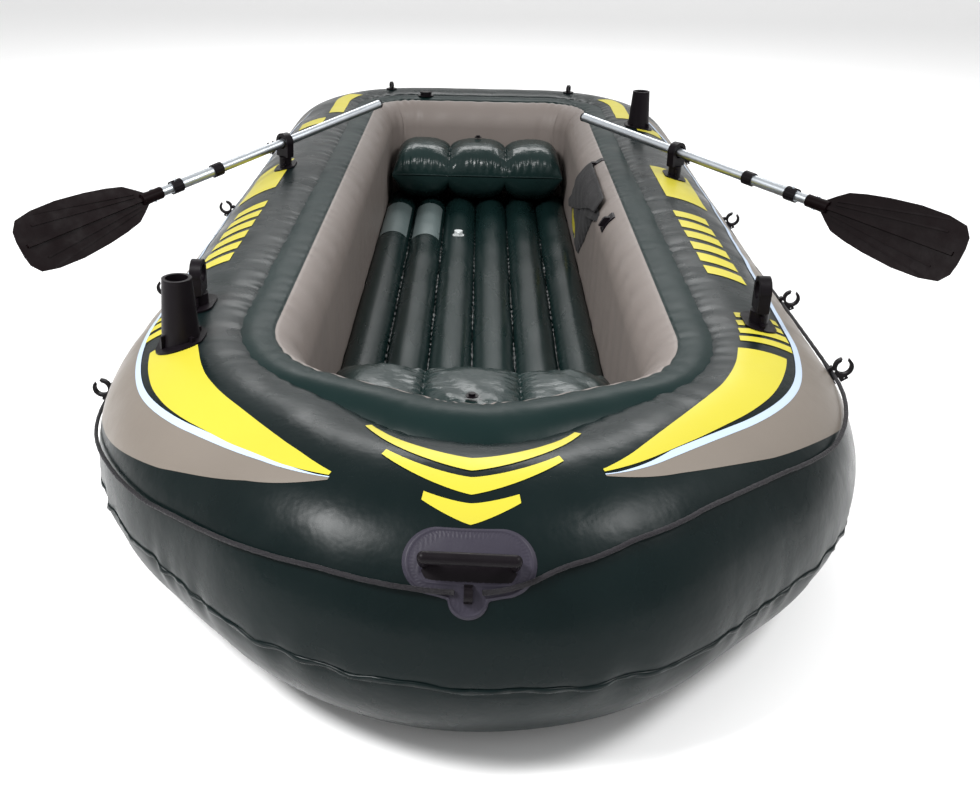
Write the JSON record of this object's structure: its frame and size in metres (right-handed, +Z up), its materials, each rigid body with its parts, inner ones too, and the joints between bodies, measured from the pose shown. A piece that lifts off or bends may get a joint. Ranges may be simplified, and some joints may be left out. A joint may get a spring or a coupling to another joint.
{
  "type": "inflatable boat",
  "caption": "Inflatable rowing boat with inner cockpit chamber, ribbed air floor, two cushion seats, grab line, rod holders and a pair of jointed oars.",
  "frame": {"origin": "middle of the flat underside, on the centreline", "axes": "+Z up, +Y towards the stern along the boat, +X to port"},
  "size_m": [2.2955, 3.5069, 0.5784],
  "materials": {
    "hull_pvc": "gloss",
    "wall_pvc": "satin",
    "floor_pvc": "gloss",
    "seat_pvc": "gloss",
    "black_plastic": "matte",
    "rope": "matte",
    "shaft_alu": "satin",
    "blade_plastic": "satin",
    "pouch_fabric": "matte",
    "clear_plastic": "gloss"
  },
  "bodies": {
    "hull": {"outer_chamber": "hull_pvc", "inner_chamber": "wall_pvc", "bottom_sheet": "floor_pvc", "floor_chamber": "floor_pvc", "bow_handle_patch": "black_plastic", "bow_handle_grip": "black_plastic", "bow_rope_ring": "black_plastic", "grab_line": "rope", "starboard_clips": "black_plastic", "port_clips": "black_plastic", "stern_rings": "black_plastic", "front_starboard_lock_base": "black_plastic", "front_port_lock_base": "black_plastic", "rear_starboard_lock_base": "black_plastic", "rear_port_lock_base": "black_plastic", "front_rod_holder": "black_plastic", "rear_rod_holder": "black_plastic", "hull_valve": "black_plastic", "inner_valve": "black_plastic", "floor_valve": "clear_plastic", "gear_pouch": "pouch_fabric", "pouch_hook": "black_plastic", "pouch_toggle": "black_plastic"},
    "front_seat": {"front_seat": "seat_pvc", "front_seat_valve": "black_plastic"},
    "rear_seat": {"rear_seat": "seat_pvc", "rear_seat_valve": "black_plastic"},
    "front_starboard_loop": {"front_starboard_lock_loop": "black_plastic"},
    "front_port_loop": {"front_port_lock_loop": "black_plastic"},
    "rear_starboard_loop": {"rear_starboard_lock_loop": "black_plastic"},
    "rear_port_loop": {"rear_port_lock_loop": "black_plastic"},
    "starboard_liner": {"starboard_lock_liner": "black_plastic"},
    "port_liner": {"port_lock_liner": "black_plastic"},
    "hull_cap": {"hull_valve_cap": "black_plastic"},
    "inner_cap": {"inner_valve_cap": "black_plastic"},
    "floor_cap": {"floor_valve_cap": "clear_plastic"},
    "pouch_flap": {"pouch_flap": "pouch_fabric"},
    "starboard_oar": {"starboard_shaft_inner": "shaft_alu", "starboard_shaft_joiner": "shaft_alu", "starboard_joint_collars": "black_plastic", "starboard_end_plug": "black_plastic"},
    "starboard_paddle": {"starboard_shaft_outer": "shaft_alu", "starboard_blade": "blade_plastic", "starboard_blade_rivet": "shaft_alu"},
    "starboard_button": {"starboard_lock_button": "shaft_alu"},
    "port_oar": {"port_shaft_inner": "shaft_alu", "port_shaft_joiner": "shaft_alu", "port_joint_collars": "black_plastic", "port_end_plug": "black_plastic"},
    "port_paddle": {"port_shaft_outer": "shaft_alu", "port_blade": "blade_plastic", "port_blade_rivet": "shaft_alu"},
    "port_button": {"port_lock_button": "shaft_alu"}
  },
  "joints": [
    {"name": "front_starboard_lock_turn", "type": "hinge", "parent": "hull", "child": "front_starboard_loop", "pos_m": [-0.545, -0.925, 0.46], "axis": [0, 0, 1], "range_deg": [-80, 80]},
    {"name": "front_port_lock_turn", "type": "hinge", "parent": "hull", "child": "front_port_loop", "pos_m": [0.545, -0.925, 0.46], "axis": [0, 0, 1], "range_deg": [-80, 80]},
    {"name": "rear_starboard_lock_turn", "type": "hinge", "parent": "hull", "child": "rear_starboard_loop", "pos_m": [-0.56, 0.24, 0.46], "axis": [0, 0, 1], "range_deg": [-20, 20]},
    {"name": "rear_port_lock_turn", "type": "hinge", "parent": "hull", "child": "rear_port_loop", "pos_m": [0.56, 0.24, 0.46], "axis": [0, 0, 1], "range_deg": [-20, 20]},
    {"name": "starboard_oar_lift", "type": "hinge", "parent": "rear_starboard_loop", "child": "starboard_liner", "pos_m": [-0.56, 0.24, 0.5], "axis": [-0.7314, 0.682, 0], "range_deg": [-5, 14]},
    {"name": "starboard_oar_feather", "type": "hinge", "parent": "starboard_liner", "child": "starboard_oar", "pos_m": [-0.56, 0.24, 0.5], "axis": [-0.6716, -0.7202, -0.1736], "continuous": true},
    {"name": "starboard_oar_pull_apart", "type": "slide", "parent": "starboard_oar", "child": "starboard_paddle", "axis": [-0.6716, -0.7202, -0.1736], "range_m": [0, 0.12]},
    {"name": "starboard_button_press", "type": "slide", "parent": "starboard_paddle", "child": "starboard_button", "axis": [0.1184, 0.127, -0.9848], "range_m": [0, 0.005], "stiffness_N_per_m": 600, "springref_m": -0.001},
    {"name": "port_oar_lift", "type": "hinge", "parent": "rear_port_loop", "child": "port_liner", "pos_m": [0.56, 0.24, 0.5], "axis": [-0.7431, -0.6691, 0], "range_deg": [-5, 14]},
    {"name": "port_oar_feather", "type": "hinge", "parent": "port_liner", "child": "port_oar", "pos_m": [0.56, 0.24, 0.5], "axis": [0.6655, -0.7391, -0.1045], "continuous": true},
    {"name": "port_oar_pull_apart", "type": "slide", "parent": "port_oar", "child": "port_paddle", "axis": [0.6655, -0.7391, -0.1045], "range_m": [0, 0.12]},
    {"name": "port_button_press", "type": "slide", "parent": "port_paddle", "child": "port_button", "axis": [-0.0699, 0.0777, -0.9945], "range_m": [0, 0.005], "stiffness_N_per_m": 600, "springref_m": -0.001},
    {"name": "hull_valve_cap_turn", "type": "hinge", "parent": "hull", "child": "hull_cap", "pos_m": [0, 1.69036, 0.39368], "axis": [1, 0, 0], "range_deg": [0, 120]},
    {"name": "inner_valve_cap_turn", "type": "hinge", "parent": "hull", "child": "inner_cap", "pos_m": [-0.205, 1.456, 0.4404], "axis": [-1, 0, 0], "range_deg": [0, 150]},
    {"name": "floor_valve_cap_turn", "type": "hinge", "parent": "hull", "child": "floor_cap", "pos_m": [-0.055, 0.616, 0.1284], "axis": [1, 0, 0], "range_deg": [0, 150]},
    {"name": "pouch_flap_lift", "type": "hinge", "parent": "hull", "child": "pouch_flap", "pos_m": [0.34078, 0.265, 0.4], "axis": [0, 1, 0], "range_deg": [0, 60]},
    {"name": "front_seat_lift", "type": "slide", "parent": "hull", "child": "front_seat", "axis": [0, 0, 1], "range_m": [0, 0.4]},
    {"name": "rear_seat_lift", "type": "slide", "parent": "hull", "child": "rear_seat", "axis": [0, 0, 1], "range_m": [0, 0.4]}
  ]
}
